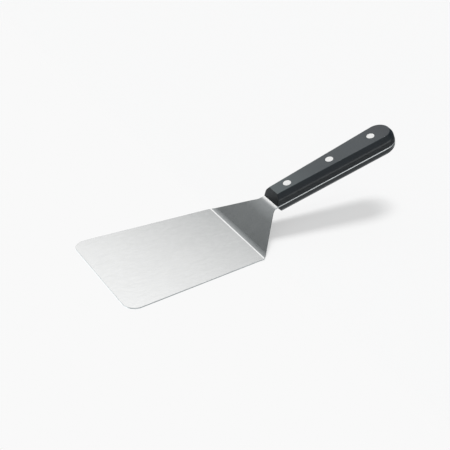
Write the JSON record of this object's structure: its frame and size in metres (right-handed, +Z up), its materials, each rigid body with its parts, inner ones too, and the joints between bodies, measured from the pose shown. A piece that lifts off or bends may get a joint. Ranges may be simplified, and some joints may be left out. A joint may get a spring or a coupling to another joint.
{
  "type": "grill spatula",
  "caption": "Offset grill spatula: wide flat steel blade, cranked tapering neck and full tang between two black riveted grip scales.",
  "frame": {"origin": "middle of the blade's flat underside, on the surface that the blade lies on", "axes": "+X from the blade along the tool to the handle's round end, +Y across the blade, +Z up, square to the blade"},
  "size_m": [0.239, 0.09, 0.0523],
  "materials": {
    "brushed_steel": "satin",
    "black_plastic": "satin",
    "rivet_metal": "satin"
  },
  "bodies": {
    "root": {"blade_and_tang": "brushed_steel", "upper_scale": "black_plastic", "lower_scale": "black_plastic", "rivet_pin_front": "rivet_metal", "rivet_pin_middle": "rivet_metal", "rivet_pin_rear": "rivet_metal", "rivet_socket_front": "rivet_metal", "rivet_socket_middle": "rivet_metal", "rivet_socket_rear": "rivet_metal"}
  },
  "joints": []
}
